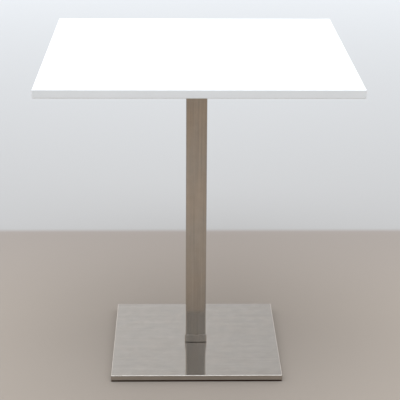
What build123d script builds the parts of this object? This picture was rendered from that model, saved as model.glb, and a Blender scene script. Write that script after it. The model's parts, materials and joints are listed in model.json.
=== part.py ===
from build123d import *
import os

# A square cafe table: a laminated board top on a square steel column and a flat, weighted square foot.
# Millimetres. The origin is on the floor under the middle of the table. +Z is up, and -Y is the front.

# Driving dimensions: the table
TABLE_HEIGHT = 760.0
TOP_SIDE = 700.0
COLUMN_SIDE = 50.0
BASE_SIDE = 410.0
BASE_HEIGHT = 16.5

# The board top
SURFACE_SHEET = 0.8
BACKING_SHEET = 0.7
BOARD_CORE = 17.0
EDGE_BAND = 2.0
EDGE_BAND_ROUNDING = 0.7
TOP_CORNER_RADIUS = 1.5

# The mounting plate under the top, and the wood screws that hold it
PLATE_SIDE = 260.0
PLATE_THICKNESS = 5.0
PLATE_CORNER_RADIUS = 20.0
SCREW_SPACING = 110.0
SCREW_HOLE_RADIUS = 2.75
SCREW_RADIUS = 2.4
SCREW_LENGTH = 20.0
SCREW_POINT = 4.0
SCREW_HEAD_RADIUS = 4.75
SCREW_HEAD_HEIGHT = 3.0
SCREW_HEAD_ROUNDING = 2.2
SCREW_RECESS_SPAN = 5.0
SCREW_RECESS_WIDTH = 1.1
SCREW_RECESS_DEPTH = 1.7
PILOT_CLEARANCE = 0.03

# The column, the square spigots that centre its ends, and its foot collar
TUBE_WALL = 1.5
TUBE_CORNER_RADIUS = 3.0
SPIGOT_CLEARANCE = 0.3
SPIGOT_HEIGHT = 20.0
SPIGOT_CHAMFER = 2.0
COLLAR_SIDE = 55.0
COLLAR_HEIGHT = 21.0
COLLAR_CORNER_RADIUS = 5.0
COLLAR_CLEARANCE = 0.2
COLLAR_TOP_CHAMFER = 0.4
COLLAR_FOOT_CHAMFER = 1.2

# The tie rod, M10, which clamps the top, the column and the base together
ROD_RADIUS = 5.0
ROD_END_CHAMFER = 0.8
ROD_TAPPED_CLEARANCE = 0.05
ROD_HOLE_RADIUS = 5.3
ROD_INSET_AT_TOP = 1.0
ROD_BELOW_NUT = 3.0
NUT_ACROSS_FLATS = 17.0
NUT_HEIGHT = 8.0
NUT_CHAMFER = 1.0
WASHER_RADIUS = 12.0
WASHER_THICKNESS = 2.5
SPRING_WASHER_RADIUS = 9.0
SPRING_WASHER_THICKNESS = 2.2
SPRING_WASHER_GAP = 1.2
NUT_RECESS_RADIUS = 14.0
NUT_RECESS_ROOF = 8.0

# The base: a thin pressed cover over a steel plate
COVER_SHEET = 1.2
COVER_BEND_RADIUS = 2.0
COVER_GROUND_CLEARANCE = 4.0
COVER_OPENING_CLEARANCE = 0.2
WEIGHT_THICKNESS = 9.0
WEIGHT_SIDE_CLEARANCE = 0.4
WEIGHT_EDGE_CHAMFER = 1.0

# The four levelling feet: a moulded pad that swivels on an M8 stud
FOOT_SPACING = 170.0
PAD_RADIUS = 15.0
PAD_HEIGHT = 4.5
PAD_TOP_ROUNDING = 1.0
PAD_FLOOR_ROUNDING = 0.4
PAD_KEY_HOLE_RADIUS = 4.0
PAD_KEY_HOLE_DEPTH = 1.4
PAD_RUNNING_GAP = 0.1
STUD_RADIUS = 4.0
STUD_FLANGE_RADIUS = 7.0
STUD_FLANGE_HEIGHT = 2.0
STUD_TAPPED_CLEARANCE = 0.1
STUD_BELOW_COVER = 0.5
STUD_END_CHAMFER = 0.7
STUD_SOCKET_ACROSS_FLATS = 4.0
STUD_SOCKET_DEPTH = 5.0

# Heights and half widths that follow from them
top_underside = TABLE_HEIGHT - SURFACE_SHEET - BOARD_CORE - BACKING_SHEET
core_bottom = top_underside + BACKING_SHEET
core_side = TOP_SIDE - 2 * EDGE_BAND
top_thickness = TABLE_HEIGHT - top_underside
column_top = top_underside - PLATE_THICKNESS
column_bottom = BASE_HEIGHT
tube_bore_side = COLUMN_SIDE - 2 * TUBE_WALL
spigot_side = tube_bore_side - 2 * SPIGOT_CLEARANCE
weight_top = BASE_HEIGHT - COVER_SHEET
weight_bottom = weight_top - WEIGHT_THICKNESS
weight_side = BASE_SIDE - 2 * (COVER_SHEET + WEIGHT_SIDE_CLEARANCE)
foot_spigot_top = weight_top + SPIGOT_HEIGHT
recess_roof = foot_spigot_top - NUT_RECESS_ROOF
washer_bottom = recess_roof - WASHER_THICKNESS
spring_washer_bottom = washer_bottom - SPRING_WASHER_THICKNESS
nut_bottom = spring_washer_bottom - NUT_HEIGHT
rod_bottom = nut_bottom - ROD_BELOW_NUT
rod_top = top_underside - ROD_INSET_AT_TOP
stud_bottom = PAD_KEY_HOLE_DEPTH + PAD_RUNNING_GAP
stud_flange_top = stud_bottom + STUD_FLANGE_HEIGHT
stud_top = weight_top - STUD_BELOW_COVER

FEET = {
    "front_left": (-FOOT_SPACING, -FOOT_SPACING),
    "front_right": (FOOT_SPACING, -FOOT_SPACING),
    "rear_left": (-FOOT_SPACING, FOOT_SPACING),
    "rear_right": (FOOT_SPACING, FOOT_SPACING),
}


def screw_places():
    """The eight screw centres: the corners and the middles of the sides of one square."""
    steps = (-SCREW_SPACING, 0.0, SCREW_SPACING)
    return [(x, y) for x in steps for y in steps if (x, y) != (0.0, 0.0)]


def slab(side, bottom, height, corner_radius=0.0):
    """A square slab centred on the column, with rounded upright edges if a radius is given."""
    outline = RectangleRounded(side, side, corner_radius) if corner_radius else Rectangle(side, side)
    return Pos(0, 0, bottom) * extrude(outline, height)


def rod(radius, bottom, top, x=0.0, y=0.0):
    """An upright round bar between two heights."""
    return Pos(x, y, bottom) * extrude(Circle(radius), top - bottom)


def edges_at(shape, height):
    """The edges that lie flat at one height."""
    return shape.edges().filter_by_position(Axis.Z, height, height)


def make_top_sheets():
    """The board core and the decor sheets glued to its two faces, drilled where the screws bite."""
    core = slab(core_side, core_bottom, BOARD_CORE)
    surface = slab(core_side, core_bottom + BOARD_CORE, SURFACE_SHEET)
    backing = slab(core_side, top_underside, BACKING_SHEET)
    screw_top = column_top + SCREW_LENGTH
    for x, y in screw_places():
        pilot = rod(SCREW_RADIUS + PILOT_CLEARANCE, top_underside, screw_top, x, y)
        core -= pilot
        backing -= pilot
    return {"top_core": core, "top_laminate": surface, "underside_laminate": backing}


def make_edge_bands():
    """Four glued edge strips. The front and rear ones run the full width and cover the side ones' ends."""
    bands = {}
    half = TOP_SIDE / 2
    long_strip = Pos(0, -half + EDGE_BAND / 2, top_underside) * extrude(Rectangle(TOP_SIDE, EDGE_BAND), top_thickness)
    outer_uprights = long_strip.edges().filter_by(Axis.Z).group_by(Axis.Y)[0]
    long_strip = fillet(outer_uprights, TOP_CORNER_RADIUS)
    outer_rims = edges_at(long_strip, TABLE_HEIGHT) + edges_at(long_strip, top_underside)
    long_strip = fillet(outer_rims.filter_by_position(Axis.Y, -half, -half + 0.9 * EDGE_BAND), EDGE_BAND_ROUNDING)
    short_strip = Pos(-half + EDGE_BAND / 2, 0, top_underside) * extrude(Rectangle(EDGE_BAND, core_side), top_thickness)
    short_strip = fillet(short_strip.edges().filter_by(Axis.Y).group_by(Axis.X)[0], EDGE_BAND_ROUNDING)
    bands["edge_band_front"] = long_strip
    bands["edge_band_rear"] = Rot(0, 0, 180) * long_strip
    bands["edge_band_left"] = short_strip
    bands["edge_band_right"] = Rot(0, 0, 180) * short_strip
    return bands


def make_mounting_plate():
    plate = slab(PLATE_SIDE, column_top, PLATE_THICKNESS, PLATE_CORNER_RADIUS)
    for x, y in screw_places():
        plate -= rod(SCREW_HOLE_RADIUS, column_top, top_underside, x, y)
    plate -= rod(ROD_HOLE_RADIUS, column_top, top_underside)
    return plate


def make_wood_screw(x, y):
    """A pan-head screw driven upwards: head under the plate, point in the board."""
    head = rod(SCREW_HEAD_RADIUS, column_top - SCREW_HEAD_HEIGHT, column_top, x, y)
    head = fillet(edges_at(head, column_top - SCREW_HEAD_HEIGHT), SCREW_HEAD_ROUNDING)
    screw_top = column_top + SCREW_LENGTH
    shank = rod(SCREW_RADIUS, column_top, screw_top - SCREW_POINT, x, y)
    point = Pos(x, y, screw_top - SCREW_POINT / 2) * Cone(SCREW_RADIUS, 0.2, SCREW_POINT)
    screw = head + shank + point
    recess_middle = column_top - SCREW_HEAD_HEIGHT + SCREW_RECESS_DEPTH / 2
    for span_x, span_y in ((SCREW_RECESS_SPAN, SCREW_RECESS_WIDTH), (SCREW_RECESS_WIDTH, SCREW_RECESS_SPAN)):
        screw -= Pos(x, y, recess_middle) * Box(span_x, span_y, SCREW_RECESS_DEPTH)
    return screw


def make_column_tube():
    tube = slab(COLUMN_SIDE, column_bottom, column_top - column_bottom, TUBE_CORNER_RADIUS)
    bore_radius = TUBE_CORNER_RADIUS - TUBE_WALL
    return tube - slab(tube_bore_side, column_bottom, column_top - column_bottom, bore_radius)


def make_spigot(bottom):
    """A square steel block that fits inside the end of the column."""
    block = slab(spigot_side, bottom, SPIGOT_HEIGHT)
    return chamfer(block.edges().filter_by(Axis.Z), SPIGOT_CHAMFER)


def make_head_spigot():
    """Welded under the mounting plate and tapped for the tie rod."""
    bottom = column_top - SPIGOT_HEIGHT
    return make_spigot(bottom) - rod(ROD_RADIUS + ROD_TAPPED_CLEARANCE, bottom, column_top)


def make_foot_spigot():
    """Welded on the weight plate, and hollow from below to take the nut and its washers."""
    block = make_spigot(weight_top) - rod(ROD_HOLE_RADIUS, weight_top, foot_spigot_top)
    return block - rod(NUT_RECESS_RADIUS, weight_top, recess_roof)


def make_column_collar():
    """A short sleeve of larger square tube round the column's foot, with both outer ends chamfered."""
    bore_side = COLUMN_SIDE + 2 * COLLAR_CLEARANCE
    wall = (COLLAR_SIDE - bore_side) / 2
    collar_top = column_bottom + COLLAR_HEIGHT
    sleeve = slab(COLLAR_SIDE, column_bottom, COLLAR_HEIGHT, COLLAR_CORNER_RADIUS)
    sleeve = chamfer(edges_at(sleeve, column_bottom), COLLAR_FOOT_CHAMFER)
    sleeve = chamfer(edges_at(sleeve, collar_top), COLLAR_TOP_CHAMFER)
    return sleeve - slab(bore_side, column_bottom, COLLAR_HEIGHT, COLLAR_CORNER_RADIUS - wall)


def make_tie_rod():
    bar = rod(ROD_RADIUS, rod_bottom, rod_top)
    return chamfer(edges_at(bar, rod_bottom) + edges_at(bar, rod_top), ROD_END_CHAMFER)


def make_rod_fasteners():
    """What tightens the tie rod from below: a flat washer, a split spring washer and a hexagon nut."""
    flat_washer = rod(WASHER_RADIUS, washer_bottom, recess_roof) - rod(ROD_HOLE_RADIUS, washer_bottom, recess_roof)
    spring_washer = rod(SPRING_WASHER_RADIUS, spring_washer_bottom, washer_bottom)
    spring_washer -= rod(ROD_HOLE_RADIUS, spring_washer_bottom, washer_bottom)
    split_x = (SPRING_WASHER_RADIUS + ROD_HOLE_RADIUS) / 2
    split_z = (spring_washer_bottom + washer_bottom) / 2
    split_length = 2 * (SPRING_WASHER_RADIUS - ROD_HOLE_RADIUS)
    split = Box(split_length, SPRING_WASHER_GAP, 2 * SPRING_WASHER_THICKNESS)
    spring_washer -= Pos(split_x, 0, split_z) * Rot(30, 0, 0) * split
    hexagon = RegularPolygon(NUT_ACROSS_FLATS / 2, 6, major_radius=False)
    blank = Pos(0, 0, nut_bottom) * extrude(hexagon, NUT_HEIGHT)
    turned = rod(NUT_ACROSS_FLATS / 2 * 1.15, nut_bottom, spring_washer_bottom)
    turned = chamfer(edges_at(turned, nut_bottom) + edges_at(turned, spring_washer_bottom), NUT_CHAMFER)
    nut = (blank & turned) - rod(ROD_RADIUS + ROD_TAPPED_CLEARANCE, nut_bottom, spring_washer_bottom)
    return {"rod_flat_washer": flat_washer, "rod_spring_washer": spring_washer, "rod_nut": nut}


def make_base_cover():
    """A sheet pan with turned-down sides, open below and at the column."""
    height = BASE_HEIGHT - COVER_GROUND_CLEARANCE
    shell = slab(BASE_SIDE, COVER_GROUND_CLEARANCE, height, COVER_BEND_RADIUS)
    shell = fillet(edges_at(shell, BASE_HEIGHT), COVER_BEND_RADIUS * 0.999)
    inner_radius = COVER_BEND_RADIUS - COVER_SHEET
    hollow = slab(BASE_SIDE - 2 * COVER_SHEET, COVER_GROUND_CLEARANCE, height - COVER_SHEET, inner_radius)
    hollow = fillet(edges_at(hollow, weight_top), inner_radius * 0.999)
    opening_side = spigot_side + 2 * COVER_OPENING_CLEARANCE
    return shell - hollow - slab(opening_side, weight_top, COVER_SHEET)


def make_weight_plate():
    plate = slab(weight_side, weight_bottom, WEIGHT_THICKNESS)
    plate = chamfer(edges_at(plate, weight_top) + plate.edges().filter_by(Axis.Z), WEIGHT_EDGE_CHAMFER)
    plate -= rod(NUT_RECESS_RADIUS, weight_bottom, weight_top)
    for x, y in FEET.values():
        plate -= rod(STUD_RADIUS + STUD_TAPPED_CLEARANCE, weight_bottom, weight_top, x, y)
    return plate


def make_leveller_pad(x, y):
    """A disc with a chamber that holds the stud's flange, and a hole below it for the key."""
    pad = rod(PAD_RADIUS, 0, PAD_HEIGHT, x, y)
    pad = fillet(edges_at(pad, PAD_HEIGHT), PAD_TOP_ROUNDING)
    pad = fillet(edges_at(pad, 0), PAD_FLOOR_ROUNDING)
    pad -= rod(PAD_KEY_HOLE_RADIUS, 0, PAD_KEY_HOLE_DEPTH, x, y)
    chamber_top = stud_flange_top + PAD_RUNNING_GAP
    pad -= rod(STUD_FLANGE_RADIUS + PAD_RUNNING_GAP, PAD_KEY_HOLE_DEPTH, chamber_top, x, y)
    return pad - rod(STUD_RADIUS + PAD_RUNNING_GAP, chamber_top, PAD_HEIGHT, x, y)


def make_leveller_stud(x, y):
    """A threaded stud whose flange turns inside the pad, with a hexagon socket for a key from below."""
    shank = rod(STUD_RADIUS, stud_flange_top, stud_top, x, y)
    shank = chamfer(edges_at(shank, stud_top), STUD_END_CHAMFER)
    stud = shank + rod(STUD_FLANGE_RADIUS, stud_bottom, stud_flange_top, x, y)
    socket = extrude(RegularPolygon(STUD_SOCKET_ACROSS_FLATS / 2, 6, major_radius=False), STUD_SOCKET_DEPTH)
    return stud - Pos(x, y, stud_bottom) * socket


def make_nodes():
    nodes = make_top_sheets() | make_edge_bands() | make_rod_fasteners()
    nodes["mounting_plate"] = make_mounting_plate()
    nodes["top_screws"] = Compound(children=[make_wood_screw(x, y) for x, y in screw_places()])
    nodes["head_spigot"] = make_head_spigot()
    nodes["column_tube"] = make_column_tube()
    nodes["column_collar"] = make_column_collar()
    nodes["tie_rod"] = make_tie_rod()
    nodes["foot_spigot"] = make_foot_spigot()
    nodes["base_cover"] = make_base_cover()
    nodes["weight_plate"] = make_weight_plate()
    for name, (x, y) in FEET.items():
        nodes[f"leveller_pad_{name}"] = make_leveller_pad(x, y)
        nodes[f"leveller_stud_{name}"] = make_leveller_stud(x, y)
    return nodes


os.makedirs("parts", exist_ok=True)
for node_name, shape in make_nodes().items():
    export_step(shape, f"parts/{node_name}.step")
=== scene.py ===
"""The looks of a square bistro table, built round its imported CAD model.

Lengths written with MM are millimetres, and everything else is in metres. Places come from the
boxes of the CAD nodes.
"""

import json
import math
import random

import bmesh
import bpy
from mathutils import Matrix, Vector

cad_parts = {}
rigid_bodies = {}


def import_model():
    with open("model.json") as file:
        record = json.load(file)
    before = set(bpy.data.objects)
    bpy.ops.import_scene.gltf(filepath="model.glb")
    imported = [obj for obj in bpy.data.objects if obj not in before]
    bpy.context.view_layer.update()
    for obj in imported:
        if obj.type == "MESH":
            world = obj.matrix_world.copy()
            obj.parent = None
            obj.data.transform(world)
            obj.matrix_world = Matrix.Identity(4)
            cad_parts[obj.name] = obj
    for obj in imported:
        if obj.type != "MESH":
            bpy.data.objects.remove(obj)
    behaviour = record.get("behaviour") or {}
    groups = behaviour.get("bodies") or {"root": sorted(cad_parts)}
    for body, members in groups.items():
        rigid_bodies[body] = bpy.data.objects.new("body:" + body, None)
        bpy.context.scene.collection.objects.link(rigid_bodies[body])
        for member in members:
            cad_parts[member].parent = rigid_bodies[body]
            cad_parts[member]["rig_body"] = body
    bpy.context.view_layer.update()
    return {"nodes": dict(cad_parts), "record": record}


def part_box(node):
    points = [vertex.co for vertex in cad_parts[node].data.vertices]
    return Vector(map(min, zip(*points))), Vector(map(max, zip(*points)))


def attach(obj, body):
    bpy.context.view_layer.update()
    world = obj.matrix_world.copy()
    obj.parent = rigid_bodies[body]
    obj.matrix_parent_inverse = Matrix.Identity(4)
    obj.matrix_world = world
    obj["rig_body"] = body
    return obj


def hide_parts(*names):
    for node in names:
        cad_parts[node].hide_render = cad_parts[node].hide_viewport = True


MM = 0.001
TURN = 2 * math.pi
WHITE = (1.0, 1.0, 1.0)

# Points nearer than this are one point: in a new mesh, and in the union of two meshes
SAME_POINT = 1e-7
SAME_POINT_IN_UNION = 2e-6

# The colour sockets of a Mix node, which share their names with its other sockets
MIX_FIRST, MIX_SECOND, MIX_RESULT = 6, 7, 2

# The camera: where it stands, and how it is aimed
CAMERA_PLACE = Vector((-0.0501, -2.9873, 1.4808))
CAMERA_PITCH_DOWN = math.radians(20.097)
CAMERA_YAW_RIGHT = math.radians(1.140)
CAMERA_ROLL = math.radians(0.343)
CAMERA_LENS = 117.44
CAMERA_SENSOR = 36.0

FEET = ("front_left", "front_right", "rear_left", "rear_right")
SCREW_STEPS = (-110 * MM, 0.0, 110 * MM)
SCREW_PLACES = [(x, y) for x in SCREW_STEPS for y in SCREW_STEPS if (x, y) != (0.0, 0.0)]

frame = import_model()


# ---------------------------------------------------------------- mesh building

def add_object(name, mesh):
    piece = bpy.data.objects.new(name, mesh)
    bpy.context.scene.collection.objects.link(piece)
    return piece


def merge_points(build, distance):
    bmesh.ops.remove_doubles(build, verts=build.verts, dist=distance)
    bmesh.ops.dissolve_degenerate(build, edges=build.edges, dist=distance)


def make_smooth(mesh):
    mesh.polygons.foreach_set("use_smooth", [True] * len(mesh.polygons))


def finish_mesh(name, build, smooth=True):
    """Turns a bmesh into a linked object with outward faces."""
    merge_points(build, SAME_POINT)
    bmesh.ops.recalc_face_normals(build, faces=build.faces)
    mesh = bpy.data.meshes.new(name)
    build.to_mesh(mesh)
    build.free()
    if smooth:
        make_smooth(mesh)
    return add_object(name, mesh)


def face_weighted(piece, sharp_degrees=40.0):
    """Keeps flat faces flat beside rounded edges, and edges past the angle sharp."""
    piece.data.set_sharp_from_angle(angle=math.radians(sharp_degrees))
    normals = piece.modifiers.new("face_weighted", "WEIGHTED_NORMAL")
    normals.keep_sharp = True
    normals.weight = 80
    return piece


def loft(name, rings, grain):
    """Quads between rings of equal length, and from the last ring back to the first.

    Grain gives (across, along) for the number of a ring and the number of a point on it.
    """
    build = bmesh.new()
    rows = [[build.verts.new(point) for point in ring] for ring in rings]
    layer = build.loops.layers.uv.new("grain")
    count = len(rings[0])
    corners = ((0, 0), (0, 1), (1, 1), (1, 0))
    for number, low in enumerate(rows):
        high = rows[(number + 1) % len(rows)]
        for step in range(count):
            after = (step + 1) % count
            face = build.faces.new((low[step], low[after], high[after], high[step]))
            for loop, (row, point) in zip(face.loops, corners):
                loop[layer].uv = grain(number + row, step + point)
    return face_weighted(finish_mesh(name, build))


def rounded_square(half, radius, height, corner_steps=8):
    """Points round a square with rounded corners, at one height.

    A point just before and after each arc keeps the rounding off the flat sides.
    """
    points = []
    for quarter in range(4):
        turn = Matrix.Rotation(quarter * TURN / 4, 3, "Z")
        centre = half - radius
        support = min(0.5 * MM, centre / 4)
        corner = [(half, centre - support)]
        for step in range(corner_steps + 1):
            angle = step / corner_steps * TURN / 4
            corner.append((centre + radius * math.cos(angle), centre + radius * math.sin(angle)))
        corner.append((centre - support, half))
        points += [turn @ Vector((x, y, height)) for x, y in corner]
    return points


def perimeter(ring):
    """The distance round a ring at each of its points, and back at the first one."""
    lengths = [0.0]
    for number, point in enumerate(ring):
        after = ring[(number + 1) % len(ring)]
        lengths.append(lengths[-1] + (after - point).length)
    return lengths


def arc(centre, radius, first_degrees, last_degrees, steps):
    """Points (offset, height) along an arc."""
    points = []
    for step in range(steps + 1):
        angle = math.radians(first_degrees + (last_degrees - first_degrees) * step / steps)
        points.append((centre[0] + radius * math.cos(angle), centre[1] + radius * math.sin(angle)))
    return points


def turned(profile, steps=48, looped=False):
    """A bmesh turned about Z from (radius, height) points.

    A radius may be a function of the angle. A looped profile goes on from its last point to its
    first.
    """
    build = bmesh.new()
    rows = []
    for radius, height in profile:
        row = []
        for step in range(steps):
            angle = step / steps * TURN
            reach = radius(angle) if callable(radius) else radius
            row.append(build.verts.new((reach * math.cos(angle), reach * math.sin(angle), height)))
        rows.append(row)
    pairs = list(zip(rows, rows[1:]))
    if looped:
        pairs.append((rows[-1], rows[0]))
    for low, high in pairs:
        for step in range(steps):
            after = (step + 1) % steps
            build.faces.new((low[step], low[after], high[after], high[step]))
    return build


def hexagon(across_flats):
    """The radius of a hexagon as a function of the angle."""
    def radius(angle):
        from_flat = (angle + TURN / 12) % (TURN / 6) - TURN / 12
        return across_flats / 2 / math.cos(from_flat)
    return radius


def cross_recess(span, width):
    """The radius of a cross with four equal arms as a function of the angle."""
    def radius(angle):
        from_arm = abs((angle + TURN / 8) % (TURN / 4) - TURN / 8)
        return min(span / 2, width / 2 / max(math.sin(from_arm), 1e-6))
    return radius


def threaded(low, high, pitch, crest, root, limit, steps=24, crest_share=0.15):
    """A bmesh of a screw thread between two heights.

    Crest and root are radii. Limit caps the radius at a height, for chamfers and points.
    """
    thinnest = 0.05 * MM
    flank = (1 - 2 * crest_share) / 2
    section = (
        (0.0, root),
        (crest_share, root),
        (crest_share + flank, crest),
        (2 * crest_share + flank, crest),
    )
    turns = math.ceil((high - low) / pitch) + 2
    build = bmesh.new()
    rows = []
    for station in range(turns * steps + 1):
        angle = station / steps * TURN
        start = low - pitch + pitch * station / steps
        row = []
        for share, radius in section:
            height = start + share * pitch
            reach = max(min(radius, limit(min(max(height, low), high))), thinnest)
            row.append(build.verts.new((reach * math.cos(angle), reach * math.sin(angle), height)))
        rows.append(row)
    for station in range(len(rows) - 1):
        row, after = rows[station], rows[station + 1]
        for number in range(len(section) - 1):
            build.faces.new((row[number], after[number], after[number + 1], row[number + 1]))
        if station + steps + 1 < len(rows):
            above, above_after = rows[station + steps], rows[station + steps + 1]
            build.faces.new((row[-1], after[-1], above_after[0], above[0]))
    for height, outward in ((low, -1), (high, 1)):
        cut = bmesh.ops.bisect_plane(
            build,
            geom=list(build.verts) + list(build.edges) + list(build.faces),
            plane_co=(0, 0, height),
            plane_no=(0, 0, outward),
            clear_outer=True,
        )
        rim = [item for item in cut["geom_cut"] if isinstance(item, bmesh.types.BMEdge)]
        bmesh.ops.contextual_create(build, geom=rim)
    return build


def fused(name, first, second):
    """The boolean union of two bmeshes as one clean object."""
    body = finish_mesh(name, first, smooth=False)
    tool = finish_mesh(name + "_tool", second, smooth=False)
    union = body.modifiers.new("union", "BOOLEAN")
    union.operation = "UNION"
    union.solver = "EXACT"
    union.object = tool
    graph = bpy.context.evaluated_depsgraph_get()
    merged = bpy.data.meshes.new_from_object(body.evaluated_get(graph))
    body.modifiers.clear()
    body.data = merged
    bpy.data.objects.remove(tool)
    build = bmesh.new()
    build.from_mesh(body.data)
    merge_points(build, SAME_POINT_IN_UNION)
    build.to_mesh(body.data)
    build.free()
    return body


def plate(name, outline, holes, low, high):
    """A flat plate with round holes and softened edges, from a filled 2-D curve.

    Each hole is a place and a radius.
    """
    edge_radius = 0.5 * MM
    hole_steps = 40
    curve = bpy.data.curves.new(name, "CURVE")
    curve.dimensions = "2D"
    curve.fill_mode = "BOTH"
    curve.extrude = (high - low) / 2 - edge_radius
    curve.bevel_depth = edge_radius
    curve.bevel_resolution = 2
    curve.offset = -edge_radius
    rims = [[(x, y) for x, y, _ in outline]]
    for (x, y), radius in holes:
        rim = []
        for step in range(hole_steps):
            angle = step / hole_steps * TURN
            rim.append((x + radius * math.cos(angle), y + radius * math.sin(angle)))
        rims.append(rim)
    for rim in rims:
        spline = curve.splines.new("POLY")
        spline.points.add(len(rim) - 1)
        for point, (x, y) in zip(spline.points, rim):
            point.co = (x, y, 0, 1)
        spline.use_cyclic_u = True
    drawn = add_object(name + "_curve", curve)
    graph = bpy.context.evaluated_depsgraph_get()
    mesh = bpy.data.meshes.new_from_object(drawn.evaluated_get(graph))
    bpy.data.objects.remove(drawn)
    mesh.transform(Matrix.Translation((0, 0, (low + high) / 2)))
    build = bmesh.new()
    build.from_mesh(mesh)
    bpy.data.meshes.remove(mesh)
    return face_weighted(finish_mesh(name, build), 50.0)


# ---------------------------------------------------------------- materials

class Nodes:
    """A material's node tree, with short calls for what every material here needs."""

    def __init__(self, name):
        self.material = bpy.data.materials.new(name)
        self.material.use_nodes = True
        self.tree = self.material.node_tree
        self.shader = self.tree.nodes["Principled BSDF"]
        self.place = self.add("ShaderNodeTexCoord").outputs["Object"]

    def add(self, kind, **settings):
        node = self.tree.nodes.new(kind)
        for key, value in settings.items():
            setattr(node, key, value)
        return node

    def link(self, source, target):
        self.tree.links.new(source, target)

    def scaled(self, scale, source=None):
        """Places multiplied by a scale for each axis."""
        mapping = self.add("ShaderNodeMapping")
        mapping.inputs["Scale"].default_value = scale
        self.link(source or self.place, mapping.inputs["Vector"])
        return mapping.outputs["Vector"]

    def noise(self, scale, detail=2.0, roughness=0.5, source=None, distortion=0.0):
        """Noise with a scale in repeats per metre: one number, or one for each axis."""
        steps = scale if isinstance(scale, tuple) else (scale, scale, scale)
        node = self.add("ShaderNodeTexNoise")
        node.inputs["Scale"].default_value = 1.0
        node.inputs["Detail"].default_value = detail
        node.inputs["Roughness"].default_value = roughness
        node.inputs["Distortion"].default_value = distortion
        self.link(self.scaled(steps, source), node.inputs["Vector"])
        return node.outputs["Fac"]

    def spread(self, value, low, high, start=0.3, end=0.7):
        """Maps a noise value onto a range."""
        node = self.add("ShaderNodeMapRange", clamp=True)
        node.inputs["From Min"].default_value = start
        node.inputs["From Max"].default_value = end
        node.inputs["To Min"].default_value = low
        node.inputs["To Max"].default_value = high
        self.link(value, node.inputs["Value"])
        return node.outputs["Result"]

    def rise(self, axis, start, end):
        """Goes from 0 to 1 as a coordinate goes from start to end."""
        split = self.add("ShaderNodeSeparateXYZ")
        self.link(self.place, split.inputs[0])
        return self.spread(split.outputs[axis], 0.0, 1.0, start, end)

    def multiply(self, first, second):
        """The product of two colours."""
        node = self.add("ShaderNodeMix", data_type="RGBA", blend_type="MULTIPLY")
        node.inputs["Factor"].default_value = 1.0
        self.link(first, node.inputs[MIX_FIRST])
        self.link(second, node.inputs[MIX_SECOND])
        return node.outputs[MIX_RESULT]

    def ramp(self, value, *stops):
        """Colours along a value: (position, colour) stops."""
        node = self.add("ShaderNodeValToRGB")
        elements = node.color_ramp.elements
        while len(elements) < len(stops):
            elements.new(0.5)
        for element, (position, colour) in zip(elements, stops):
            element.position = position
            element.color = (*colour, 1.0)
        self.link(value, node.inputs["Fac"])
        return node.outputs["Color"]

    def math(self, operation, *values):
        """The result of one math operation on outputs."""
        node = self.add("ShaderNodeMath", operation=operation)
        for value, socket in zip(values, node.inputs):
            self.link(value, socket)
        return node.outputs[0]

    def sum(self, *values):
        """The sum of two or more outputs."""
        total = values[0]
        for value in values[1:]:
            total = self.math("ADD", total, value)
        return total

    def bump(self, height, depth):
        """Bumps as deep as depth, in metres, for a height from 0 to 1, on top of earlier ones."""
        node = self.add("ShaderNodeBump")
        node.inputs["Strength"].default_value = 1.0
        node.inputs["Distance"].default_value = depth
        self.link(height, node.inputs["Height"])
        if self.shader.inputs["Normal"].is_linked:
            self.link(self.shader.inputs["Normal"].links[0].from_socket, node.inputs["Normal"])
        self.link(node.outputs["Normal"], self.shader.inputs["Normal"])

    def set(self, **values):
        """Constant shader values, by socket name with underscores for spaces."""
        for key, value in values.items():
            self.shader.inputs[key.replace("_", " ")].default_value = value

    def drive(self, **sources):
        """Shader values that vary over the surface, by socket name with underscores for spaces."""
        for key, source in sources.items():
            self.link(source, self.shader.inputs[key.replace("_", " ")])


def make_laminate(name, light, dark):
    """Melamine sheet: a faint fine texture, and patches where wiping has polished it."""
    nodes = Nodes(name)
    cloud = nodes.noise(6.0, detail=3.0)
    polish = nodes.noise((9.0, 3.0, 9.0), detail=4.0, roughness=0.6, distortion=0.6)
    grain = nodes.noise(1400.0, detail=2.0, roughness=0.6)
    wear = nodes.sum(nodes.spread(polish, 0.0, 0.8), nodes.spread(grain, 0.0, 0.2))
    nodes.set(Specular_IOR_Level=0.5)
    nodes.drive(
        Base_Color=nodes.ramp(cloud, (0.3, dark), (0.7, light)),
        Roughness=nodes.spread(wear, 0.3, 0.44, 0, 1),
    )
    nodes.bump(grain, 0.02 * MM)
    nodes.bump(nodes.noise(60.0, detail=1.0), 0.03 * MM)
    return nodes.material


def make_edge_band():
    """Thin plastic strip: a faint run of pressing lines along it, and painted shade along its lower
    edge.
    """
    lower_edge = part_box("edge_band_front")[0].z
    # Painted shade: the colour darkens towards the lower edge
    painted_lower_shade = (0.86, 0.85, 0.80)
    nodes = Nodes("white_edge_band")
    cloud = nodes.noise(14.0, detail=3.0)
    grain = nodes.noise(900.0, detail=2.0, roughness=0.7)
    lines = nodes.noise((5.0, 5.0, 1500.0), detail=1.0)
    above_painted_shade = nodes.rise("Z", lower_edge - 0.2 * MM, lower_edge + 3.0 * MM)
    wear = nodes.sum(nodes.spread(lines, 0.0, 0.5), nodes.spread(grain, 0.0, 0.5))
    nodes.drive(
        Base_Color=nodes.multiply(
            nodes.ramp(cloud, (0.3, (0.775, 0.788, 0.785)), (0.7, (0.805, 0.818, 0.815))),
            nodes.ramp(above_painted_shade, (0.0, painted_lower_shade), (1.0, WHITE)),
        ),
        Roughness=nodes.spread(wear, 0.36, 0.5, 0, 1),
    )
    nodes.bump(grain, 0.015 * MM)
    nodes.bump(lines, 0.01 * MM)
    return nodes.material


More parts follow.
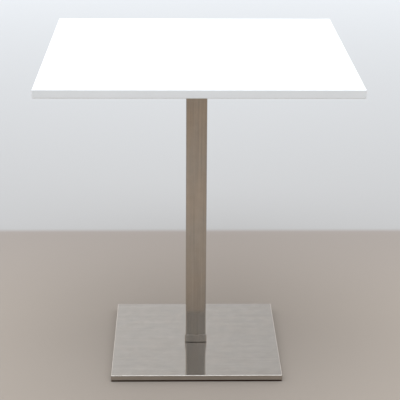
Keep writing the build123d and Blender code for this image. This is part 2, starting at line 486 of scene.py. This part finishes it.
def make_particle_board():
    """Pressed wood chips, with fibres along Y."""
    shadow, chip, highlight = (0.26, 0.16, 0.08), (0.47, 0.32, 0.17), (0.66, 0.49, 0.29)
    nodes = Nodes("particle_board")
    chips = nodes.add("ShaderNodeTexVoronoi")
    chips.inputs["Scale"].default_value = 1.0
    nodes.link(nodes.scaled((240.0, 240.0, 700.0)), chips.inputs["Vector"])
    shade = nodes.add("ShaderNodeSeparateColor")
    nodes.link(chips.outputs["Color"], shade.inputs["Color"])
    fibre = nodes.noise((1500.0, 300.0, 1500.0), detail=3.0)
    mixed = nodes.sum(
        nodes.spread(shade.outputs["Red"], 0.0, 0.7, 0, 1), nodes.spread(fibre, 0.0, 0.3)
    )
    nodes.drive(
        Base_Color=nodes.ramp(mixed, (0.0, shadow), (0.5, chip), (1.0, highlight)),
        Roughness=nodes.spread(fibre, 0.75, 0.95),
    )
    nodes.bump(chips.outputs["Distance"], 0.25 * MM)
    nodes.bump(fibre, 0.1 * MM)
    return nodes.material


def make_brushed_stainless(name, contrast, cast, tint=(0.49, 0.45, 0.405), painted_shade_below=None):
    """Stainless steel with a grain along V of the uv map named grain, in metres.

    Contrast is that of its streaks, and cast that of its warm and cool patches. Painted shade
    darkens it below a height.
    """
    roughness = 0.155
    roughness_swing = 0.03
    mottle = 0.04
    # Painted shade: this colour is multiplied in below the given height
    painted_shade_colour = (0.3, 0.27, 0.23)
    painted_shade_blur = 0.2 * MM
    dark = tuple((1.0 - 0.15 * contrast) * part for part in tint)
    light = tuple((1.0 + 0.13 * contrast) * part for part in tint)
    warm = (1.0 + 0.04 * cast, 1.0, 1.0 - 0.045 * cast)
    cool = (1.0 - 0.05 * cast, 1.0 - 0.015 * cast, 1.0 + 0.02 * cast)
    dull = (1.0 - mottle,) * 3
    bright = (1.0 + mottle,) * 3

    nodes = Nodes(name)
    grain = nodes.add("ShaderNodeUVMap", uv_map="grain").outputs["UV"]
    fine = nodes.noise((5200.0, 24.0, 1.0), detail=2.0, roughness=0.6, source=grain)
    coarse = nodes.noise((900.0, 5.0, 1.0), detail=3.0, roughness=0.65, source=grain)
    broad = nodes.noise((230.0, 3.5, 1.0), detail=2.0, source=grain)
    smudge = nodes.noise(11.0, detail=4.0, roughness=0.6, distortion=0.4)
    patches = nodes.noise((16.0, 16.0, 7.0), detail=3.0, roughness=0.55, distortion=0.8)
    cloud = nodes.noise(42.0, detail=4.0, roughness=0.6)
    streaks = nodes.sum(
        nodes.spread(fine, 0.0, 0.2), nodes.spread(coarse, 0.0, 0.3), nodes.spread(broad, 0.0, 0.5)
    )
    wear = nodes.sum(nodes.spread(streaks, 0.0, 0.6, 0, 1), nodes.spread(smudge, 0.0, 0.4))
    colour = nodes.ramp(streaks, (0.1, dark), (0.9, light))
    colour = nodes.multiply(colour, nodes.ramp(patches, (0.38, warm), (0.62, cool)))
    colour = nodes.multiply(colour, nodes.ramp(cloud, (0.3, dull), (0.7, bright)))
    # Painted shade: darkens the colour below a height, standing in for shade at a joint
    if painted_shade_below is not None:
        above_painted_shade = nodes.rise("Z", painted_shade_below - painted_shade_blur, painted_shade_below + painted_shade_blur)
        colour = nodes.multiply(colour, nodes.ramp(above_painted_shade, (0.0, painted_shade_colour), (1.0, WHITE)))
    low, high = roughness - roughness_swing, roughness + roughness_swing
    nodes.set(Metallic=1.0, Anisotropic=1.0)
    nodes.drive(Base_Color=colour, Roughness=nodes.spread(wear, low, high, 0.1, 0.9))
    nodes.bump(fine, 0.004 * MM)
    nodes.bump(coarse, 0.008 * MM)
    nodes.bump(nodes.noise((60.0, 60.0, 900.0), detail=1.0), 0.028 * MM)
    tangent = nodes.add("ShaderNodeTangent", direction_type="UV_MAP", uv_map="grain")
    nodes.link(tangent.outputs["Tangent"], nodes.shader.inputs["Tangent"])
    return nodes.material


def make_powder_coat():
    """Black powder coat with a fine pebbled surface."""
    nodes = Nodes("black_coated_steel")
    pebble = nodes.noise(1100.0, detail=2.0, roughness=0.55)
    dust = nodes.noise(25.0, detail=5.0, roughness=0.7)
    nodes.drive(
        Base_Color=nodes.ramp(dust, (0.35, (0.018, 0.018, 0.019)), (0.75, (0.034, 0.033, 0.032))),
        Roughness=nodes.spread(dust, 0.42, 0.62),
    )
    nodes.bump(pebble, 0.06 * MM)
    return nodes.material


def make_zinc():
    """Bright zinc plate: bluish, faintly mottled."""
    nodes = Nodes("zinc_plated_steel")
    mottle = nodes.noise(260.0, detail=3.0, roughness=0.6)
    fine = nodes.noise(3000.0, detail=1.0)
    wear = nodes.sum(nodes.spread(mottle, 0.0, 0.6), nodes.spread(fine, 0.0, 0.4))
    nodes.set(Metallic=1.0)
    nodes.drive(
        Base_Color=nodes.ramp(mottle, (0.3, (0.56, 0.57, 0.60)), (0.7, (0.74, 0.75, 0.77))),
        Roughness=nodes.spread(wear, 0.22, 0.42, 0, 1),
    )
    nodes.bump(mottle, 0.02 * MM)
    return nodes.material


def make_plain_steel():
    """Rolled steel with a thin dark scale."""
    nodes = Nodes("plain_steel")
    scale = nodes.noise(70.0, detail=5.0, roughness=0.65, distortion=0.5)
    fine = nodes.noise(1800.0, detail=2.0)
    nodes.set(Metallic=1.0)
    nodes.drive(
        Base_Color=nodes.ramp(scale, (0.35, (0.15, 0.14, 0.14)), (0.7, (0.36, 0.35, 0.34))),
        Roughness=nodes.spread(scale, 0.45, 0.7),
    )
    nodes.bump(fine, 0.02 * MM)
    return nodes.material


def make_nylon():
    """Moulded black nylon, scuffed lighter in patches."""
    nodes = Nodes("black_nylon")
    scuff = nodes.noise(300.0, detail=5.0, roughness=0.7)
    grain = nodes.noise(2600.0, detail=1.0)
    nodes.drive(
        Base_Color=nodes.ramp(scuff, (0.4, (0.016, 0.016, 0.017)), (0.8, (0.055, 0.053, 0.05))),
        Roughness=nodes.spread(scuff, 0.4, 0.65),
    )
    nodes.bump(grain, 0.03 * MM)
    return nodes.material


# Just above the shadow gap round the collar's foot; below it the collar's colour is darkened with
# painted shade
COLLAR_PAINTED_SHADE_TOP = 17.9 * MM

MATERIALS = {
    "white_laminate": make_laminate("white_laminate", (0.80, 0.805, 0.80), (0.785, 0.79, 0.785)),
    "backing_laminate": make_laminate("backing_laminate", (0.74, 0.73, 0.70), (0.69, 0.68, 0.65)),
    "white_edge_band": make_edge_band(),
    "particle_board": make_particle_board(),
    "brushed_stainless": make_brushed_stainless("brushed_stainless", contrast=1.0, cast=0.6),
    "black_coated_steel": make_powder_coat(),
    "zinc_plated_steel": make_zinc(),
    "plain_steel": make_plain_steel(),
    "black_nylon": make_nylon(),
}
COVER_STAINLESS = make_brushed_stainless("cover_stainless", contrast=0.3, cast=0.12)
# The collar's tint is a little lighter than that of the other stainless pieces: painted light
COLLAR_STAINLESS = make_brushed_stainless(
    "collar_stainless",
    contrast=0.6,
    cast=0.4,
    tint=(0.51, 0.467, 0.42),
    painted_shade_below=COLLAR_PAINTED_SHADE_TOP,
)
SLOT_OF_NODE = {part["node"]: part["material_slot"] for part in frame["record"]["subparts"]}


def install(piece, node, material=None):
    """Puts a detailed piece in the place of its CAD node.

    It has its slot's material if no other is given.
    """
    slot = SLOT_OF_NODE[node]
    piece.data.materials.clear()
    piece.data.materials.append(material or MATERIALS[slot])
    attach(piece, frame["nodes"][node]["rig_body"])
    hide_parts(node)


def coat_cad_nodes():
    """Every CAD node gets the material of its slot."""
    for node, piece in frame["nodes"].items():
        for material_slot in piece.material_slots:
            material_slot.material = MATERIALS[SLOT_OF_NODE[node]]


# ---------------------------------------------------------------- the stainless pieces

def make_column_tube():
    """Square tube with slightly broken ends and its grain along its length."""
    low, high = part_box("column_tube")
    half = high.x
    wall = 1.5 * MM
    corner = 3.0 * MM
    edge = 0.25 * MM
    bore = half - wall
    levels = [
        (half - edge, corner - edge, low.z),
        (half, corner, low.z + edge),
        (half, corner, high.z - edge),
        (half - edge, corner - edge, high.z),
        (bore + edge, corner - wall + edge, high.z),
        (bore, corner - wall, high.z - edge),
        (bore, corner - wall, low.z + edge),
        (bore + edge, corner - wall + edge, low.z),
    ]
    rings = [rounded_square(side, radius, height) for side, radius, height in levels]
    around = perimeter(rings[1])

    def grain(row, point):
        return around[point], levels[row % len(levels)][2]

    install(loft("brushed_column_tube", rings, grain), "column_tube")


def make_column_collar():
    """Short sleeve with rounded corners and a shadow gap round its foot. Its grain runs upwards."""
    low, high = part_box("column_collar")
    outer = high.x
    inner = 25.2 * MM
    corner = 5.0 * MM
    rebate_depth = 2.0 * MM
    rebate_height = 1.3 * MM
    lip_chamfer = 0.2 * MM
    top_chamfer = 0.05 * MM
    section = [
        (inner, low.z),
        (outer - rebate_depth, low.z),
        (outer - rebate_depth, low.z + rebate_height),
        (outer - lip_chamfer, low.z + rebate_height),
        (outer, low.z + rebate_height + lip_chamfer),
        (outer, high.z - top_chamfer),
        (outer - top_chamfer, high.z),
        (inner, high.z),
    ]
    rings = [rounded_square(side, corner + side - outer, height) for side, height in section]
    along = [0.0]
    for (side, height), (next_side, next_height) in zip(section, section[1:] + section[:1]):
        along.append(along[-1] + math.hypot(next_side - side, next_height - height))
    lip = section.index((outer, low.z + rebate_height + lip_chamfer))
    around = perimeter(rings[lip])

    def grain(row, point):
        return around[point], along[row]

    install(loft("square_column_collar", rings, grain), "column_collar", COLLAR_STAINLESS)


def make_base_cover():
    """Pressed sheet with turned-down sides. The grain runs along X and over the side bends."""
    low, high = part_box("base_cover")
    half = high.x
    sheet = 1.2 * MM
    bend = 2.0 * MM
    edge = 0.2 * MM
    opening = 23.4 * MM
    opening_corner = 1.0 * MM
    sharpest_corner = 0.3 * MM
    inside = half - sheet
    section = [(half - edge, low.z), (half, low.z + edge)]
    section += arc((half - bend, high.z - bend), bend, 0, 90, 8)
    section += [(half - 2 * bend, high.z), (opening + edge, high.z), (opening, high.z - edge)]
    section += [(opening, high.z - sheet), (half - 2 * bend, high.z - sheet)]
    section += arc((half - bend, high.z - bend), bend - sheet, 90, 0, 4)
    section += [(inside, low.z + edge), (inside + edge, low.z)]
    rings = []
    for side, height in section:
        corner = bend if side > opening + edge else opening_corner
        radius = max(corner + min(side - half, 0.0), sharpest_corner)
        rings.append(rounded_square(side, radius, height))

    def grain(row, point):
        spot = rings[row % len(rings)][point % len(rings[0])]
        drop = high.z - spot.z
        on_side = abs(spot.x) > abs(spot.y)
        across = spot.y if on_side else spot.y + math.copysign(drop, spot.y)
        down = spot.x + math.copysign(drop, spot.x) if on_side else spot.x
        return across, down

    install(loft("brushed_base_cover", rings, grain), "base_cover", COVER_STAINLESS)


# ---------------------------------------------------------------- plates, screws and feet

def make_mounting_plate():
    low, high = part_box("mounting_plate")
    corner = 20 * MM
    screw_hole = 2.75 * MM
    rod_hole = 5.3 * MM
    outline = rounded_square(high.x, corner, 0, corner_steps=12)
    holes = [(place, screw_hole) for place in SCREW_PLACES] + [((0, 0), rod_hole)]
    install(plate("coated_mounting_plate", outline, holes, low.z, high.z), "mounting_plate")


def foot_place(foot):
    low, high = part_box(f"leveller_stud_{foot}")
    return (low.x + high.x) / 2, (low.y + high.y) / 2


def make_weight_plate():
    low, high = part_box("weight_plate")
    corner = 1.2 * MM
    stud_hole = 4.1 * MM
    rod_recess = 14 * MM
    outline = rounded_square(high.x, corner, 0, corner_steps=2)
    holes = [(foot_place(foot), stud_hole) for foot in FEET] + [((0, 0), rod_recess)]
    install(plate("coated_weight_plate", outline, holes, low.z, high.z), "weight_plate")


def make_top_screws():
    """Pan-head wood screws with a cross recess, driven upwards, each turned by chance."""
    low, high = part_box("top_screws")
    plate_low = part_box("mounting_plate")[0].z
    point_slope = 0.45
    recess_bottom = cross_recess(2.6 * MM, 0.6 * MM)
    recess_mouth = cross_recess(5.0 * MM, 1.15 * MM)
    dome = [(3.2, 0.12), (4.2, 0.6), (4.65, 1.3), (4.75, 2.2), (4.75, 3.0), (0.0, 3.0)]
    profile = [
        (0.0, low.z + 1.9 * MM),
        (recess_bottom, low.z + 1.6 * MM),
        (recess_mouth, low.z + 0.05 * MM),
        (2.75 * MM, low.z),
    ]
    profile += [(radius * MM, low.z + height * MM) for radius, height in dome]
    head = turned(profile, steps=64)

    def point(height):
        return point_slope * (high.z - height)

    shank = threaded(
        plate_low - 0.3 * MM,
        high.z - 0.05 * MM,
        pitch=2.2 * MM,
        crest=2.4 * MM,
        root=1.6 * MM,
        limit=point,
        crest_share=0.08,
    )
    screw = fused("cross_head_screws", head, shank)
    chance = random.Random(7)
    build = bmesh.new()
    for x, y in SCREW_PLACES:
        copy = screw.data.copy()
        turn = Matrix.Rotation(chance.uniform(0, TURN), 4, "Z")
        copy.transform(Matrix.Translation((x, y, 0)) @ turn)
        build.from_mesh(copy)
        bpy.data.meshes.remove(copy)
    bpy.data.objects.remove(screw)
    install(face_weighted(finish_mesh("cross_head_screws", build), 35.0), "top_screws")


def make_tie_rod():
    """M10 rod, threaded from end to end."""
    low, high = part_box("tie_rod")
    radius = high.x
    pitch = 1.5 * MM
    thread_depth = 0.92 * MM
    chamfer = 0.8 * MM

    def limit(height):
        return radius - chamfer + min(height - low.z, high.z - height, chamfer)

    build = threaded(low.z, high.z, pitch, radius, radius - thread_depth, limit, steps=20)
    install(face_weighted(finish_mesh("threaded_tie_rod", build), 30.0), "tie_rod")


def make_stud(foot):
    """M8 stud: thread above a flange with a hexagon socket in its underside."""
    node = f"leveller_stud_{foot}"
    low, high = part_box(node)
    x, y = foot_place(foot)
    pitch = 1.25 * MM
    crest = 4.0 * MM
    root = 3.25 * MM
    core = 3.4 * MM
    core_top = high.z - 3.0 * MM
    tip = 3.35 * MM
    socket = hexagon(4.0 * MM)
    socket_mouth = 2.75 * MM
    flange = 7.0 * MM
    flange_top = low.z + 2.0 * MM
    edge = 0.3 * MM
    profile = [
        (0.0, low.z + 5.6 * MM),
        (socket, low.z + 5.0 * MM),
        (socket, low.z + 0.4 * MM),
        (socket_mouth, low.z),
        (flange - edge, low.z),
        (flange, low.z + edge),
        (flange, flange_top - edge),
        (flange - edge, flange_top),
        (core, flange_top),
        (core, core_top),
        (0.0, core_top),
    ]

    def limit(height):
        """Lets the thread run out towards the flange, and chamfers its top."""
        run_out = (height - flange_top) * 0.5 + 0.15 * MM
        return tip + min(run_out, high.z - height, crest - tip)

    thread = threaded(flange_top + 0.2 * MM, high.z, pitch, crest, root, limit, steps=32)
    stud = fused(f"threaded_stud_{foot}", turned(profile), thread)
    stud.data.transform(Matrix.Translation((x, y, 0)))
    make_smooth(stud.data)
    install(face_weighted(stud, 30.0), node)


def make_pad(foot):
    """Nylon glide: fluted rim, a chamber for the stud's flange and a key hole below."""
    node = f"leveller_pad_{foot}"
    low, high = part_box(node)
    x, y = foot_place(foot)
    rim = high.x - x
    flutes = 24
    flute_depth = 0.45 * MM
    key_hole = 4.0 * MM
    stud_hole = 4.1 * MM
    chamber = 7.1 * MM
    chamber_low, chamber_high = 1.4 * MM, 3.6 * MM

    def fluted(inset):
        def radius(angle):
            return rim - inset - flute_depth * (0.5 - 0.5 * math.cos(flutes * angle)) ** 2
        return radius

    underside = [(4.4, 0.0), (10.5, 0.0), (10.8, 0.25), (11.8, 0.25), (12.1, 0.0), (14.1, 0.0)]
    profile = [(radius * MM, height * MM) for radius, height in underside]
    profile += [
        (fluted(0.5 * MM), 0.15 * MM),
        (fluted(0.1 * MM), 0.5 * MM),
        (fluted(0.0), 1.0 * MM),
        (fluted(0.0), 3.3 * MM),
        (fluted(0.25 * MM), 4.0 * MM),
        (14.0 * MM, high.z - 0.1 * MM),
        (13.4 * MM, high.z),
        (4.3 * MM, high.z),
        (stud_hole, high.z - 0.2 * MM),
        (stud_hole, chamber_high),
        (chamber, chamber_high),
        (chamber, chamber_low),
        (key_hole, chamber_low),
        (key_hole, 0.4 * MM),
    ]
    pad = finish_mesh(f"fluted_pad_{foot}", turned(profile, steps=flutes * 6, looped=True))
    pad.data.transform(Matrix.Translation((x, y, 0)))
    install(face_weighted(pad, 35.0), node)


# ---------------------------------------------------------------- stage, light and camera

FLOOR_SIZE = 30.0
# Painted shadow under the base: the floor is as dark as this up to the first distance from the
# middle, and plain from the second
FLOOR_PAINTED_SHADOW = (0.15, 0.06, 0.02)
PAINTED_SHADOW_FULL_TO, PAINTED_SHADOW_FADES_TO = 0.203, 0.206
# Its colour from the front to the rear, with pale paper from 0.8 m behind the table's middle
FLOOR_STOPS = (
    (-2.4, (0.29, 0.234, 0.183)),
    (-0.5, (0.307, 0.264, 0.222)),
    (0.2, (0.31, 0.268, 0.228)),
    (0.77, (0.275, 0.241, 0.213)),
    (0.80, (0.365, 0.357, 0.346)),
    (4.6, (0.675, 0.68, 0.675)),
)

# The room's light by direction. The front is the dark one, but for its sides and its upper part
WALL_REAR_LEFT = (0.85, 0.87, 0.895)
WALL_REAR_RIGHT = (0.71, 0.725, 0.745)
WALL_LEFT = (1.3, 1.31, 1.33)
WALL_RIGHT = (1.2, 1.21, 1.23)
ROOM_IN_FRONT = (0.31, 0.305, 0.305)
ROOM_IN_FRONT_SIDES = (0.72, 0.73, 0.75)
ROOM_IN_FRONT_HIGH = (0.65, 0.73, 0.83)
CEILING = (1.6, 1.65, 1.75)


def make_floor():
    """A plain floor, brownish round the table and pale behind it, with a painted shadow where the
    base covers it.
    """
    half = FLOOR_SIZE / 2
    corners = [(-half, -half, 0), (half, -half, 0), (half, half, 0), (-half, half, 0)]
    mesh = bpy.data.meshes.new("floor")
    mesh.from_pydata(corners, [], [(0, 1, 2, 3)])
    floor = add_object("floor", mesh)
    nodes = Nodes("floor")
    start, end = FLOOR_STOPS[0][0], FLOOR_STOPS[-1][0]
    depth = nodes.rise("Y", start, end)
    stops = [((place - start) / (end - start), colour) for place, colour in FLOOR_STOPS]
    split = nodes.add("ShaderNodeSeparateXYZ")
    nodes.link(nodes.place, split.inputs[0])
    reach = nodes.math("MAXIMUM", *(nodes.math("ABSOLUTE", split.outputs[axis]) for axis in "XY"))
    # Painted shadow: the floor's colour is darkened under the base
    clear = nodes.spread(reach, 0.0, 1.0, PAINTED_SHADOW_FULL_TO, PAINTED_SHADOW_FADES_TO)
    shade = nodes.ramp(clear, (0.0, FLOOR_PAINTED_SHADOW), (1.0, WHITE))
    nodes.drive(Base_Color=nodes.multiply(nodes.ramp(depth, *stops), shade))
    nodes.set(Roughness=0.75, Specular_IOR_Level=0.2)
    mesh.materials.append(nodes.material)


def make_world():
    """A white room: pale walls at the sides and behind, a darker front and a bright ceiling."""
    world = bpy.data.worlds.new("studio")
    bpy.context.scene.world = world
    world.use_nodes = True
    tree = world.node_tree
    place = tree.nodes.new("ShaderNodeTexCoord")
    split = tree.nodes.new("ShaderNodeSeparateXYZ")
    tree.links.new(place.outputs["Generated"], split.inputs[0])

    def share(axis, start, end):
        """Goes from 0 to 1 as one part of the direction goes from start to end."""
        node = tree.nodes.new("ShaderNodeMapRange")
        node.interpolation_type = "SMOOTHSTEP"
        node.inputs["From Min"].default_value = start
        node.inputs["From Max"].default_value = end
        tree.links.new(split.outputs[axis], node.inputs["Value"])
        return node.outputs["Result"]

    def blend(factor, first, second):
        """Mixes two colours, each a constant or an output."""
        node = tree.nodes.new("ShaderNodeMix")
        node.data_type = "RGBA"
        tree.links.new(factor, node.inputs["Factor"])
        for colour, number in ((first, MIX_FIRST), (second, MIX_SECOND)):
            socket = node.inputs[number]
            if isinstance(colour, tuple):
                socket.default_value = (*colour, 1.0)
            else:
                tree.links.new(colour, socket)
        return node.outputs[MIX_RESULT]

    leftward = share("X", -0.08, -0.22)
    rightward = share("X", 0.1, 0.24)
    wall = blend(share("X", -0.12, 0.12), WALL_REAR_LEFT, WALL_REAR_RIGHT)
    wall = blend(leftward, wall, WALL_LEFT)
    wall = blend(rightward, wall, WALL_RIGHT)
    front = blend(leftward, ROOM_IN_FRONT, ROOM_IN_FRONT_SIDES)
    front = blend(rightward, front, ROOM_IN_FRONT_SIDES)
    front = blend(share("Z", 0.43, 0.54), front, ROOM_IN_FRONT_HIGH)
    room = blend(share("Y", -0.2, 0.4), front, wall)
    room = blend(share("Z", 0.6, 0.9), room, CEILING)
    tree.links.new(room, tree.nodes["Background"].inputs["Color"])


def add_softbox(name, place, target, width, height, power):
    """A rectangular lamp at a place, aimed at a target."""
    lamp = bpy.data.lights.new(name, "AREA")
    lamp.shape = "RECTANGLE"
    lamp.size = width
    lamp.size_y = height
    lamp.energy = power
    box = add_object(name, lamp)
    box.location = place
    box.rotation_euler = (Vector(target) - Vector(place)).to_track_quat("-Z", "Y").to_euler()
    return lamp


def make_lights():
    """A wide lamp overhead, and a slightly bluish key lamp above and in front."""
    add_softbox(
        "overhead_softbox",
        place=(0.0, 0.3, 3.6),
        target=(0.0, 0.0, 0.7),
        width=2.4,
        height=2.4,
        power=40.0,
    )
    key = add_softbox(
        "key_softbox",
        place=(-0.3, -1.45, 3.1),
        target=(0.0, 0.0, 0.4),
        width=2.8,
        height=1.2,
        power=38.0,
    )
    key.color = (0.93, 1.0, 1.08)


def make_camera():
    data = bpy.data.cameras.new("camera")
    data.lens = CAMERA_LENS
    data.sensor_width = CAMERA_SENSOR
    camera = add_object("camera", data)
    aim = Matrix.Rotation(-CAMERA_YAW_RIGHT, 4, "Z")
    aim = aim @ Matrix.Rotation(TURN / 4 - CAMERA_PITCH_DOWN, 4, "X")
    aim = aim @ Matrix.Rotation(CAMERA_ROLL, 4, "Z")
    camera.matrix_world = Matrix.Translation(CAMERA_PLACE) @ aim
    bpy.context.scene.camera = camera


make_camera()
make_world()
make_lights()
make_floor()
bpy.context.scene.view_settings.view_transform = "Standard"
coat_cad_nodes()
make_column_tube()
make_column_collar()
make_base_cover()
make_mounting_plate()
make_weight_plate()
make_top_screws()
make_tie_rod()
for foot in FEET:
    make_stud(foot)
    make_pad(foot)
